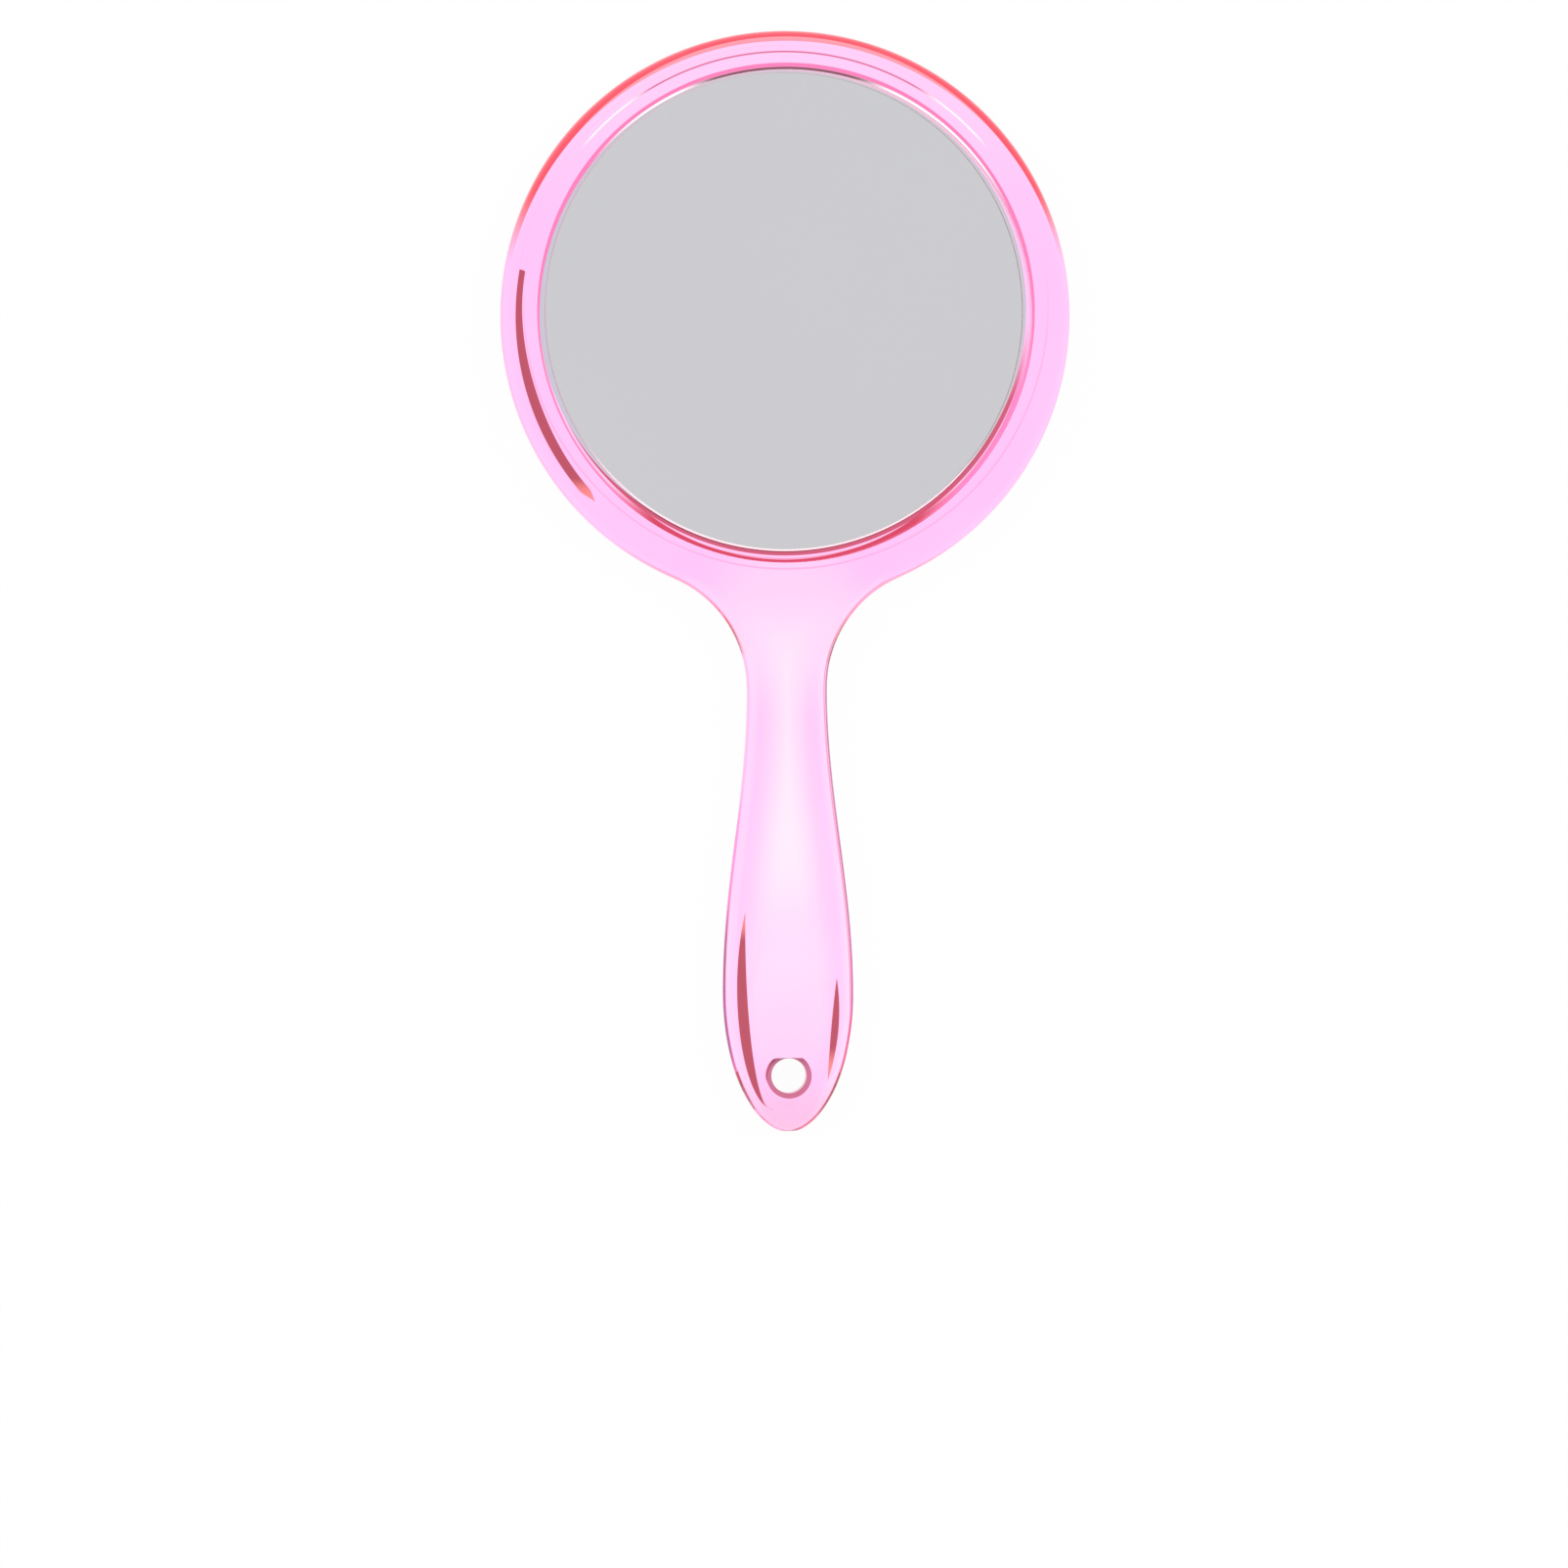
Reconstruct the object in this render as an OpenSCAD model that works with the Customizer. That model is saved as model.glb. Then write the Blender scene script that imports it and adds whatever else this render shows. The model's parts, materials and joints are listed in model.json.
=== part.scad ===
// Hand mirror: a round glass mirror in a clear moulded frame with a waisted handle.
// It lies on its back. Z points out of the mirror, Y runs from the handle to the head,
// and the origin lies under the middle of the outline. Sizes are in millimetres.

/* [Head] */
// Outer diameter of the round head
head_d = 125; // [105:1:150]
// Thickness of the head, whose outer side is a full round
head_t = 9.5; // [9:0.5:13]
// Width of the clear rim around the recess
rim_w = 8.5; // [8:0.5:14]
// Thickness of the floor that closes the back of the recess
floor_t = 1.3; // [1:0.1:2]
// Rounding of the recess's front edge
rim_round = 0.6; // [0.3:0.1:1]

/* [Mirror] */
// Thickness of the mirror glass
glass_t = 2; // [1.5:0.1:3]
// Mean gap between the glass and the recess's wall
glass_gap = 1.4; // [0.5:0.1:2]
// Distance that the glass is stuck above the middle of the recess, less than the gap
glass_shift = 1.1; // [0:0.1:1.8]
// Width of the ground chamfer on both edges of the glass
glass_seam = 0.3; // [0.1:0.05:0.5]
// Thickness of the silver on the back of the glass
silver_t = 0.05; // [0.02:0.01:0.1]
// Thickness of the paint that seals the silver
paint_t = 0.1; // [0.05:0.01:0.2]

/* [Tape] */
// Thickness of the double-sided tape under the mirror
tape_t = 0.4; // [0.2:0.1:0.8]
// Width of one strip of tape
tape_w = 12; // [8:1:20]
// Distance between the middles of neighbouring strips
tape_pitch = 28; // [24:1:34]
// Distance that a strip's corners keep from the edge of the paint
tape_margin = 4; // [2:0.5:8]

/* [Handle] */
// Length of the handle, from the head's edge to the tip
handle_l = 116; // [95:1:160]
// Width of the handle at its narrow neck
neck_w = 17.6; // [14:0.2:22]
// Radius of the flare between the neck and the head
neck_r = 26; // [18:1:36]
// Width of the handle where it swells
handle_w = 28.8; // [24:0.2:36]
// Length of the rounded end, from the widest place to the tip
end_l = 30; // [24:1:42]
// Depth of the handle's faces below the head's faces
handle_step = 0.5; // [0.2:0.1:1.5]
// Squareness of the handle's section, where 2 is an ellipse
grip_power = 2.5; // [2:0.1:4]
// Depth of the hollow behind the widest place of the handle
hollow_d = 4.2; // [1:0.1:4.8]
// Width of the wall that is left beside the hollow
hollow_wall = 3; // [2:0.5:5]

/* [Hanging hole] */
// Diameter of the hanging hole
hole_d = 7.7; // [5:0.1:9]
// Rounding of the hole's two edges
hole_round = 1.2; // [0.4:0.1:1.6]
// Distance from the hole's centre to the tip
hole_inset = 12; // [10.5:0.5:18]

/* [Hidden] */
$fn = 128;

// Overhang of a cutter past the face that it opens
over = 1;
// Depth by which the flare sinks into the rim, so that the two cross cleanly
flare_bury = 0.8;
// Depth by which the root of the handle reaches into the recess, where it is cut away
root_reach = 4;
// Width that the root of the handle loses on each side
root_taper = 2;
// Squareness of the tip's side view, where 2 is an ellipse
tip_power = 4;
// Angle on the end's quarter ellipse where the tip is cut flat
tip_angle = 86;
// Length over which the hollow behind the handle sinks in and runs out
hollow_fade = 24;
// Squareness of the hollow's section
hollow_power = 4;
// Counts of the handle's stations and of the points on each
flare_steps = 10;
grip_steps = 16;
tip_steps = 12;
section_points = 48;

head_r = head_d / 2;
mid_z = head_t / 2;
mouth_r = head_r - rim_w;
head_y = handle_l / 2;
tip_s = head_r + handle_l;
hole_s = tip_s - hole_inset;

// Levels of the stack in the recess, from the floor up
paint_z = floor_t + tape_t;
silver_z = paint_z + paint_t;
glass_z = silver_z + silver_t;
glass_r = mouth_r - glass_gap;
glass_y = head_y + min(glass_shift, glass_gap - glass_seam);
coat_r = glass_r - glass_seam;

// Centre of the flare's arc, which touches the buried rim circle and the neck
bury_r = head_r - flare_bury;
arc_x = neck_w / 2 + neck_r;
arc_s = sqrt(pow(bury_r + neck_r, 2) - pow(arc_x, 2));
arc_end = atan2(arc_s, arc_x);
swell_s = tip_s - end_l;
grip_half = mid_z - handle_step;
hollow_end = hole_s - hole_d;

// Half the thickness of the rounded end, for a share of its length
function end_half(share) = grip_half * pow(1 - pow(share, tip_power), 1 / tip_power);

// Stations of the handle: distance below the head's centre, half width, half thickness
flare = [
    for (i = [0 : flare_steps])
        let (a = arc_end * (1 - i / flare_steps))
        [arc_s - neck_r * sin(a), arc_x - neck_r * cos(a), grip_half]
];
root = [[mouth_r - root_reach, flare[0][1] - root_taper, grip_half]];
grip = [
    for (i = [1 : grip_steps])
        let (u = i / grip_steps, rise = (1 - cos(180 * u)) / 2)
        [arc_s + (swell_s - arc_s) * u, (neck_w + (handle_w - neck_w) * rise) / 2, grip_half]
];
tip = [
    for (i = [1 : tip_steps])
        let (a = tip_angle * i / tip_steps)
        [swell_s + end_l * sin(a) / sin(tip_angle), handle_w / 2 * cos(a), end_half(sin(a))]
];
stations = concat(root, flare, grip, tip);

// Power that keeps the sign of its base
function signed_pow(v, p) = sign(v) * pow(abs(v), p);

// Rise from 0 to 1 with soft ends
function soft_step(u) = let (v = max(0, min(1, u))) v * v * (3 - 2 * v);

// Depth of the hollow in the back at one station, and its share of that depth at a place across
function hollow_depth(st) =
    hollow_d * (min(st[1], handle_w / 2) - hollow_wall) / (handle_w / 2 - hollow_wall)
    * soft_step((st[0] - head_r) / hollow_fade) * soft_step((hollow_end - st[0]) / hollow_fade);
function hollow_share(x, half) = pow(1 - pow(min(1, abs(x) / (half - hollow_wall)), hollow_power), 2);

// Closed outline of the handle at one station, with its back hollowed
function section(st) = [
    for (i = [0 : section_points - 1])
        let (
            a = 360 * i / section_points,
            p = 2 / grip_power,
            x = st[1] * signed_pow(cos(a), p),
            lift = hollow_depth(st) > 0 && sin(a) < 0 ? hollow_depth(st) * hollow_share(x, st[1]) : 0
        )
        [x, head_y - st[0], mid_z + st[2] * signed_pow(sin(a), p) + lift]
];

// Skin over a row of closed outlines that have as many points each
module skin(rings) {
    n = len(rings[0]);
    last = (len(rings) - 1) * n;
    sides = [
        for (k = [0 : len(rings) - 2], i = [0 : n - 1])
            let (j = (i + 1) % n)
            [k * n + i, (k + 1) * n + i, (k + 1) * n + j, k * n + j]
    ];
    caps = [
        [for (i = [0 : n - 1]) i],
        [for (i = [n - 1 : -1 : 0]) last + i]
    ];
    polyhedron([for (ring = rings, p = ring) p], concat(sides, caps));
}

// Half section that opens a hole of radius r at level z, with a round edge
module mouth(r, z, edge) {
    difference() {
        translate([0, z - edge]) square([r + edge, edge + over]);
        translate([r + edge, z - edge]) circle(edge);
    }
}

module head_blank() {
    rotate_extrude() {
        square([head_r - mid_z, head_t]);
        intersection() {
            translate([head_r - mid_z, mid_z]) circle(mid_z);
            translate([head_r - head_t, 0]) square([head_t, head_t]);
        }
    }
}

module recess_cut() {
    rotate_extrude() {
        translate([0, floor_t]) square([mouth_r, head_t - floor_t]);
        mouth(mouth_r, head_t, rim_round);
    }
}

module hole_cut() {
    half = end_half((hole_s - swell_s) / end_l);
    rotate_extrude() {
        translate([0, -half]) square([hole_d / 2, 2 * half]);
        mouth(hole_d / 2, half, hole_round);
        mirror([0, 1]) mouth(hole_d / 2, half, hole_round);
    }
}

// Clear body: the dished head, its neck and the handle in one moulding
module frame() {
    color([0.98, 0.62, 0.84, 0.6])
    difference() {
        union() {
            translate([0, head_y, 0]) head_blank();
            skin([for (st = stations) section(st)]);
        }
        translate([0, head_y, 0]) recess_cut();
        translate([0, head_y - hole_s, mid_z]) hole_cut();
    }
}

// Round glass with both edges ground off
module mirror_glass() {
    color([0.8, 0.81, 0.82])
    translate([0, glass_y, glass_z])
    rotate_extrude()
    polygon([
        [0, 0], [glass_r - glass_seam, 0], [glass_r, glass_seam],
        [glass_r, glass_t - glass_seam], [glass_r - glass_seam, glass_t], [0, glass_t]
    ]);
}

// Reflecting film on the back of the glass
module silver_coat() {
    color([0.86, 0.86, 0.88])
    translate([0, glass_y, silver_z]) cylinder(h = silver_t, r = coat_r);
}

// Paint that keeps air and damp from the silver
module backing_paint() {
    color([0.5, 0.51, 0.53])
    translate([0, glass_y, paint_z]) cylinder(h = paint_t, r = coat_r);
}

// Strip of tape between the floor and the paint, in one of three columns
module tape(column) {
    edge_x = abs(column) * tape_pitch + tape_w / 2;
    strip_l = 2 * sqrt(pow(coat_r - tape_margin, 2) - pow(edge_x, 2));
    color([0.95, 0.95, 0.93])
    translate([column * tape_pitch - tape_w / 2, glass_y - strip_l / 2, floor_t])
    cube([tape_w, strip_l, tape_t]);
}

module tape_left() { tape(-1); }
module tape_middle() { tape(0); }
module tape_right() { tape(1); }

frame();
mirror_glass();
silver_coat();
backing_paint();
tape_left();
tape_middle();
tape_right();
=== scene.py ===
# %% [markdown]
# # A clear pink hand mirror
# The real thing is one clear moulding with a round glass mirror stuck into its head. This lesson dresses
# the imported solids: the moulding and the glass are modelled again as smooth meshes, because light that
# bends through a faceted solid shows every facet. The thin layers behind the glass keep their solids.

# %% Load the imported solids
import json
import math

import bmesh
import bpy
from mathutils import Matrix, Vector


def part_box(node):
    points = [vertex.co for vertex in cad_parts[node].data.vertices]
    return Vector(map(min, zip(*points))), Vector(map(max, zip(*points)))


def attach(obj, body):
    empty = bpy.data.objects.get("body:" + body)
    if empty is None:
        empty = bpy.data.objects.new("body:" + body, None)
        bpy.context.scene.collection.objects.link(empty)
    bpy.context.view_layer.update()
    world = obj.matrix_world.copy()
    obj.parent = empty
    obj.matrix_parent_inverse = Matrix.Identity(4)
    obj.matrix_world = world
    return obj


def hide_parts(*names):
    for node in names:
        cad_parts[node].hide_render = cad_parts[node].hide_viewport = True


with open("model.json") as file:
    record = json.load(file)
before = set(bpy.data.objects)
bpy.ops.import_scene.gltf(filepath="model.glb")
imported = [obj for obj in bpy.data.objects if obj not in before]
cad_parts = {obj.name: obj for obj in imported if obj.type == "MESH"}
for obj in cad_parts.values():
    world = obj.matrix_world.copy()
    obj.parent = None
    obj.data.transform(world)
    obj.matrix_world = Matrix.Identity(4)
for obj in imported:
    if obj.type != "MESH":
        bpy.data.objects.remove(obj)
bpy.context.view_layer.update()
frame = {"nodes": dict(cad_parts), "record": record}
MM = 0.001
mounts = {mount["name"]: mount for mount in frame["record"]["mounts"]}

# %% [markdown]
# ## Measures
# The head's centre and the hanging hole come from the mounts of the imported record, and the outer sizes
# from the boxes of the solids. Only the sizes that no box can tell are written here, in metres.

# %% Take the measures from the frame
HEAD_Y = mounts["rear_face"]["pos_m"][1]
HOLE_Y = mounts["hanging_hole"]["pos_m"][1]
HOLE_R = mounts["hanging_hole"]["dims"]["r_mm"] * MM
body_low, body_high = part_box("frame")
glass_low, glass_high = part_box("mirror_glass")
coat_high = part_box("silver_coat")[1]
tape_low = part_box("tape_middle")[0]
HEAD_R = (body_high.x - body_low.x) / 2
HEAD_T = body_high.z - body_low.z
MID_Z = HEAD_T / 2
TIP_S = HEAD_Y - body_low.y
GLASS_R = (glass_high.y - glass_low.y) / 2
GLASS_Y = (glass_high.y + glass_low.y) / 2
RECESS_R = HEAD_R - 8.5 * MM
NECK_W = 17.6 * MM
NECK_R = 26 * MM
HANDLE_W = 28.8 * MM
END_L = 30 * MM
GRIP_HALF = MID_Z - 0.5 * MM
HOLLOW_D = 4.2 * MM
HOLLOW_WALL = 3 * MM
HOLLOW_FADE = 24 * MM
print("head radius", round(HEAD_R, 4), "thickness", round(HEAD_T, 4), "recess", round(RECESS_R, 4))

# %% [markdown]
# ## The head of the moulding
# The head is a shallow dish with a full round outside. It is turned from half of its section, as on a
# lathe: a chain of vertices from the dish's floor, up its wall, over the rim and round to the back.
# Pairs of close vertices hold the corners crisp when the subdivision surface rounds the rest.

# %% Turn the head
TURNS = 96
ROUND_STEPS = 12
FLOOR_Z = tape_low.z - 0.03 * MM
EDGE_ROUND = 0.7 * MM
SIDE_W = 3.6 * MM
SIDE_POWER = 2.5
SIDE_SWELL = 1.015
round_r = HEAD_R - SIDE_W


def arc(centre, radius, start, end, steps):
    """Points of a part of a circle in the half section, with its angles in degrees."""
    turns = [math.radians(start + (end - start) * i / steps) for i in range(steps + 1)]
    return [(centre[0] + radius * math.cos(a), centre[1] + radius * math.sin(a)) for a in turns]


def signed_power(v, p):
    return math.copysign(abs(v) ** p, v)


def side_point(place):
    """Way out and up on the squarish round side, for a place from 0.5 in front to -0.5 behind."""
    turn = place * math.pi
    return abs(math.cos(turn)) ** (2 / SIDE_POWER), signed_power(math.sin(turn), 2 / SIDE_POWER)


floor_reach = (0, 0.5 * RECESS_R, RECESS_R - 4 * MM, RECESS_R - 1.5 * MM, RECESS_R - 0.3 * MM, RECESS_R)
section = [(reach, FLOOR_Z) for reach in floor_reach]
section += [(RECESS_R, FLOOR_Z + 0.3 * MM), (RECESS_R, MID_Z), (RECESS_R, HEAD_T - 2 * EDGE_ROUND)]
section += arc((RECESS_R + EDGE_ROUND, HEAD_T - EDGE_ROUND), EDGE_ROUND, 180, 90, 3)
section += [(RECESS_R + 2 * EDGE_ROUND, HEAD_T)]
for i in range(ROUND_STEPS + 1):
    out, up = side_point(0.5 - i / ROUND_STEPS)
    section.append((round_r + SIDE_SWELL * SIDE_W * out, MID_Z + MID_Z * up))
section += [(RECESS_R + EDGE_ROUND, 0), (RECESS_R - 2 * MM, 0), (0.5 * RECESS_R, 0), (0, 0)]

body = bmesh.new()
chain = [body.verts.new((r, HEAD_Y, z)) for r, z in section]
chain += [body.edges.new(pair) for pair in zip(chain, chain[1:])]
bmesh.ops.spin(body, geom=chain, cent=(0, HEAD_Y, 0), axis=(0, 0, 1), dvec=(0, 0, 0),
               angle=2 * math.pi, steps=TURNS, use_merge=True)
bmesh.ops.remove_doubles(body, verts=body.verts, dist=0.01 * MM)
print("head turned with", len(body.faces), "faces")

# %% [markdown]
# The finish will need to know how far a place lies inside the outline, because the plastic looks different
# at its edge. Two numbers on the mesh's points keep that: the inset in millimetres, and 1 on the handle.

# %% Note the inset on the head
inset = body.verts.layers.float.new("inset")
on_handle = body.verts.layers.float.new("on_handle")


def head_reach(point):
    return math.hypot(point.x, point.y - HEAD_Y)


for vert in body.verts:
    vert[inset] = (HEAD_R - head_reach(vert.co)) / MM
print("insets on the head from", round(min(v[inset] for v in body.verts), 2), "mm")

# %% [markdown]
# ## The neck and the handle
# A moulded handle has no seam to the head. So a window is opened in the head's outer side where the neck
# starts, and the edge of the window is pulled out ring by ring, as clay would be. Every ring has the
# same points, numbered from the front's left corner, and the number rides along with each extrusion.

# %% Open a window for the neck
WINDOW_STEPS = 6
WINDOW_TURN = math.tau * WINDOW_STEPS / TURNS
ROW = 2 * WINDOW_STEPS
RING = 2 * (ROW + ROUND_STEPS)
ring_number = body.verts.layers.int.new("ring_number")
station_number = body.verts.layers.int.new("station_number")


def head_turn(point):
    """Angle of a point round the head, from the middle of the handle."""
    return math.atan2(point.x, HEAD_Y - point.y)


window = []
for face in body.faces:
    middle = face.calc_center_median()
    if head_reach(middle) > round_r and abs(head_turn(middle)) < WINDOW_TURN:
        window.append(face)
bmesh.ops.delete(body, geom=window, context="FACES")
rim_edges = [edge for edge in body.edges if edge.is_boundary]
for vert in {vert for edge in rim_edges for vert in edge.verts}:
    column = round(head_turn(vert.co) / WINDOW_TURN * WINDOW_STEPS) + WINDOW_STEPS
    up = max(-1, min(1, (vert.co.z - MID_Z) / MID_Z))
    step = round((0.5 - math.asin(signed_power(up, SIDE_POWER / 2)) / math.pi) * ROUND_STEPS)
    if step == 0:
        number = column
    elif step == ROUND_STEPS:
        number = ROW + ROUND_STEPS + ROW - column
    elif column == ROW:
        number = ROW + step
    else:
        number = RING - step
    vert[ring_number] = number
numbers = {vert[ring_number] for edge in rim_edges for vert in edge.verts}
print("window edge of", len(rim_edges), "edges with", len(numbers), "numbers")

# %% [markdown]
# Each station of the handle gives the right-hand point of the outline, the direction that points into
# the plastic there, the half thickness, how far the section has gone from the rim's round side to the
# handle's own pillow shape, and the cosine of the outline's lean. Distances run down from the head's
# centre. The last rings overshoot a little, because the subdivision surface pulls the tip back.

# %% Lay out the stations of the handle
FLARE_STEPS = 9
GRIP_STEPS = 13
TIP_POWER = 4
TIP_OVERSHOOT = 0.5 * MM
TIP_SHARES = (0.28, 0.53, 0.74, 0.89, 0.975)
HOLE_HALF = 4.8 * MM
HOLE_ROWS = 6
arc_x = NECK_W / 2 + NECK_R
arc_s = math.sqrt((HEAD_R + NECK_R) ** 2 - arc_x ** 2)
arc_turn = math.atan2(arc_s, arc_x)
swell_s = TIP_S - END_L
hole_s = HEAD_Y - HOLE_Y


def ease(u):
    return (1 - math.cos(math.pi * u)) / 2


def end_station(s):
    """Half width, half thickness and cosine of the lean of the rounded end at a distance s."""
    share = min((s - swell_s) / END_L, 1)
    wide = HANDLE_W / 2 * math.sqrt(1 - share ** 2)
    thick = GRIP_HALF * (1 - share ** TIP_POWER) ** (1 / TIP_POWER)
    lean = math.cos(math.atan(HANDLE_W / 2 * share / (END_L * math.sqrt(1 - share ** 2))))
    return wide, thick, lean


stations = []
for i in range(1, FLARE_STEPS + 1):
    a = arc_turn * (1 - i / FLARE_STEPS)
    inward = (-math.cos(a), -math.sin(a))
    blend = ease(i / FLARE_STEPS)
    half = MID_Z + (GRIP_HALF - MID_Z) * blend
    stations.append((arc_x - NECK_R * math.cos(a), arc_s - NECK_R * math.sin(a), inward, half, blend, 1))
for i in range(1, GRIP_STEPS + 1):
    u = i / GRIP_STEPS
    wide = (NECK_W + (HANDLE_W - NECK_W) * ease(u)) / 2
    stations.append((wide, arc_s + (swell_s - arc_s) * u, (-1, 0), GRIP_HALF, 1, 1))
hole_rows = [hole_s + HOLE_HALF * (2 * i / HOLE_ROWS - 1) for i in range(HOLE_ROWS + 1)]
end_rows = [swell_s + (hole_rows[0] - swell_s) * i / 4 for i in range(1, 4)] + hole_rows
end_rows += [hole_rows[-1] + (TIP_S - hole_rows[-1]) * share for share in TIP_SHARES]
for s in end_rows:
    wide, thick, lean = end_station(s)
    overshoot = TIP_OVERSHOOT * ((s - swell_s) / END_L) ** 8
    stations.append((wide, s + overshoot, (-1, 0), thick, 1, lean))
first_hole_station = FLARE_STEPS + GRIP_STEPS + end_rows.index(hole_rows[0])
print(len(stations), "stations, the hole starts at", first_hole_station)

# %% [markdown]
# A ring is a blend of two sections with the same numbering. One follows the rim: a flat front, a full
# round side and a flat back. The other is the handle's pillow section, a superellipse.

# %% Pull the handle out of the window
PILLOW_POWER = 2.5
CORNER = 0.84
corner_turn = math.acos(CORNER ** (PILLOW_POWER / 2))
sag = round_r * (1 - math.cos(WINDOW_TURN))


def ring_place(number):
    """Row or side of a ring's point: (front or back sign, place across) or (side sign, angle)."""
    if number <= ROW:
        return "row", 1, number / WINDOW_STEPS - 1
    if number < ROW + ROUND_STEPS:
        return "side", 1, 0.5 - (number - ROW) / ROUND_STEPS
    if number <= 2 * ROW + ROUND_STEPS:
        return "row", -1, 1 - (number - ROW - ROUND_STEPS) / WINDOW_STEPS
    return "side", -1, (number - 2 * ROW - ROUND_STEPS) / ROUND_STEPS - 0.5


def soft_step(u):
    v = max(0, min(1, u))
    return v * v * (3 - 2 * v)


def hollow_lift(station, x):
    """Height of the hollow in the handle's back at a place across one station."""
    wide, s = station[0], station[1]
    share = max(0, (min(wide, HANDLE_W / 2) - HOLLOW_WALL) / (HANDLE_W / 2 - HOLLOW_WALL))
    ends = soft_step((s - HEAD_R) / HOLLOW_FADE) * soft_step((hole_s - 2 * HOLE_R - s) / HOLLOW_FADE)
    across = max(0, 1 - (abs(x) / max(wide - HOLLOW_WALL, HOLLOW_WALL)) ** 3) ** 2
    return HOLLOW_D * share * ends * across


def ring_point(station, number):
    """Place of a ring's point and its inset from the outline."""
    wide, s, inward, half, blend, lean = station
    kind, sign, place = ring_place(number)
    if kind == "row":
        corner_x = wide + inward[0] * SIDE_W
        corner_s = s + inward[1] * SIDE_W
        rim = Vector((place * corner_x, corner_s + sag * (1 - place ** 2), sign * half))
        across = CORNER * signed_power(place, 0.75)
        thick = (1 - abs(across) ** PILLOW_POWER) ** (1 / PILLOW_POWER)
        pillow = Vector((across * wide, s, sign * half * thick))
        depth = SIDE_W + (1 - abs(place)) * corner_x
    else:
        out, up = side_point(place)
        depth = SIDE_W * (1 - out)
        rim = Vector((sign * (wide + inward[0] * depth), s + inward[1] * depth, half * up))
        turn = place * 2 * corner_turn
        p = 2 / PILLOW_POWER
        pillow = Vector((sign * wide * math.cos(turn) ** p, s, half * signed_power(math.sin(turn), p)))
    spot = rim.lerp(pillow, blend)
    if kind == "row" and sign < 0:
        spot.z += hollow_lift(station, spot.x)
    inside = depth + ((wide - abs(pillow.x)) * lean - depth) * blend
    return Vector((spot.x, HEAD_Y - spot.y, MID_Z + spot.z)), inside


ring_edges = rim_edges
for count, station in enumerate(stations, 1):
    pulled = bmesh.ops.extrude_edge_only(body, edges=ring_edges)["geom"]
    fresh = {item for item in pulled if isinstance(item, bmesh.types.BMVert)}
    for vert in fresh:
        vert.co, inside = ring_point(station, vert[ring_number])
        vert[inset] = inside / MM
        vert[on_handle] = 1
        vert[station_number] = count
    ring_edges = [item for item in pulled if isinstance(item, bmesh.types.BMEdge)
                  and item.verts[0] in fresh and item.verts[1] in fresh]
bmesh.ops.contextual_create(body, geom=ring_edges)
print("handle pulled, now", len(body.faces), "faces")

# %% [markdown]
# ## The hanging hole
# A block of faces is taken out of the front and the back, the two openings are rounded to circles, and
# their edges are rolled inwards until a bridge can join them. That gives the moulded hole its soft lip.

# %% Open the hanging hole
LIP = 1.2 * MM
MOUTH_R = HOLE_R + LIP
HOLE_SPAN = HOLE_ROWS // 2
front_columns = range(WINDOW_STEPS - HOLE_SPAN, WINDOW_STEPS + HOLE_SPAN + 1)
back_columns = range(ROW + ROUND_STEPS + front_columns[0], ROW + ROUND_STEPS + front_columns[-1] + 1)
hole_stations = range(first_hole_station + 1, first_hole_station + HOLE_ROWS + 2)
block = []
for face in body.faces:
    numbers = {vert[ring_number] for vert in face.verts}
    counts = {vert[station_number] for vert in face.verts}
    if counts <= set(hole_stations) and (numbers <= set(front_columns) or numbers <= set(back_columns)):
        block.append(face)
bmesh.ops.delete(body, geom=block, context="FACES")
open_edges = [edge for edge in body.edges if edge.is_boundary]


def place_round(verts, radius):
    """Spreads verts evenly on a circle about the hole, keeps their heights and notes their insets."""
    ordered = sorted(verts, key=lambda v: math.atan2(v.co.y - HOLE_Y, v.co.x))
    start = math.atan2(ordered[0].co.y - HOLE_Y, ordered[0].co.x)
    for i, vert in enumerate(ordered):
        a = start + math.tau * i / len(ordered)
        vert.co.x = radius * math.cos(a)
        vert.co.y = HOLE_Y + radius * math.sin(a)
        wide, _, lean = end_station(HEAD_Y - vert.co.y)
        vert[inset] = (wide - abs(vert.co.x)) * lean / MM


last_edges = []
for sign in (1, -1):
    edges = [edge for edge in open_edges if sign * (edge.verts[0].co.z - MID_Z) > 0]
    place_round({vert for edge in edges for vert in edge.verts}, MOUTH_R)
    for turn in (30, 60, 90, None):
        pulled = bmesh.ops.extrude_edge_only(body, edges=edges)["geom"]
        fresh = {item for item in pulled if isinstance(item, bmesh.types.BMVert)}
        for vert in fresh:
            before = math.radians(turn - 30) if turn else math.pi / 2
            after = math.radians(turn or 90)
            vert.co.z -= sign * LIP * (math.cos(before) - math.cos(after))
            if turn is None:
                vert.co.z = MID_Z + sign * MID_Z / 6
        place_round(fresh, MOUTH_R - LIP * math.sin(after))
        edges = [item for item in pulled if isinstance(item, bmesh.types.BMEdge)
                 and item.verts[0] in fresh and item.verts[1] in fresh]
    last_edges += edges
bmesh.ops.bridge_loops(body, edges=last_edges)
bmesh.ops.recalc_face_normals(body, faces=body.faces)
print("hole opened, open edges left:", sum(edge.is_boundary for edge in body.edges))

# %% [markdown]
# The finished cage becomes an object with a subdivision surface. The piece stands for the solid frame,
# rides on the only body and takes the clear plastic's slot.

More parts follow.
